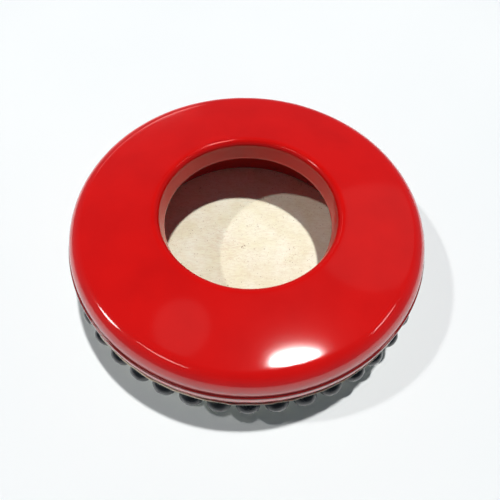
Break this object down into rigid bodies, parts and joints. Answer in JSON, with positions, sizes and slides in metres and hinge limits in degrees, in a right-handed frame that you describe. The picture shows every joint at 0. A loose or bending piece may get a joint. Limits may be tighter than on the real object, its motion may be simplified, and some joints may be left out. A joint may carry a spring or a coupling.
{
  "type": "hand drum",
  "caption": "Shallow hand drum with one rawhide head: a turned, bulging wooden shell with a round opening in its back and a row of dome-headed tacks round the rim.",
  "frame": {"origin": "centre of the outer face of the head, on the drum's axis; the drum lies on this face", "axes": "+Z along the drum's axis, from the head to the open back; -Y towards the viewer, where one tack stands; +X to the right"},
  "size_m": [0.247, 0.247, 0.054],
  "materials": {
    "red_lacquer": "turned wood under glossy bright red lacquer, inside and out",
    "rawhide": "cream rawhide, matt, mottled and lightly speckled",
    "black_iron": "black, glossy forged iron"
  },
  "bodies": {
    "root": {"shell": "red_lacquer", "drum_skin": "rawhide", "tack_01": "black_iron", "tack_02": "black_iron", "tack_03": "black_iron", "tack_04": "black_iron", "tack_05": "black_iron", "tack_06": "black_iron", "tack_07": "black_iron", "tack_08": "black_iron", "tack_09": "black_iron", "tack_10": "black_iron", "tack_11": "black_iron", "tack_12": "black_iron", "tack_13": "black_iron", "tack_14": "black_iron", "tack_15": "black_iron", "tack_16": "black_iron", "tack_17": "black_iron", "tack_18": "black_iron", "tack_19": "black_iron", "tack_20": "black_iron", "tack_21": "black_iron", "tack_22": "black_iron", "tack_23": "black_iron", "tack_24": "black_iron", "tack_25": "black_iron", "tack_26": "black_iron", "tack_27": "black_iron", "tack_28": "black_iron", "tack_29": "black_iron", "tack_30": "black_iron", "tack_31": "black_iron", "tack_32": "black_iron", "tack_33": "black_iron", "tack_34": "black_iron", "tack_35": "black_iron", "tack_36": "black_iron", "tack_37": "black_iron", "tack_38": "black_iron", "tack_39": "black_iron", "tack_40": "black_iron", "tack_41": "black_iron", "tack_42": "black_iron", "tack_43": "black_iron", "tack_44": "black_iron"}
  },
  "joints": []
}
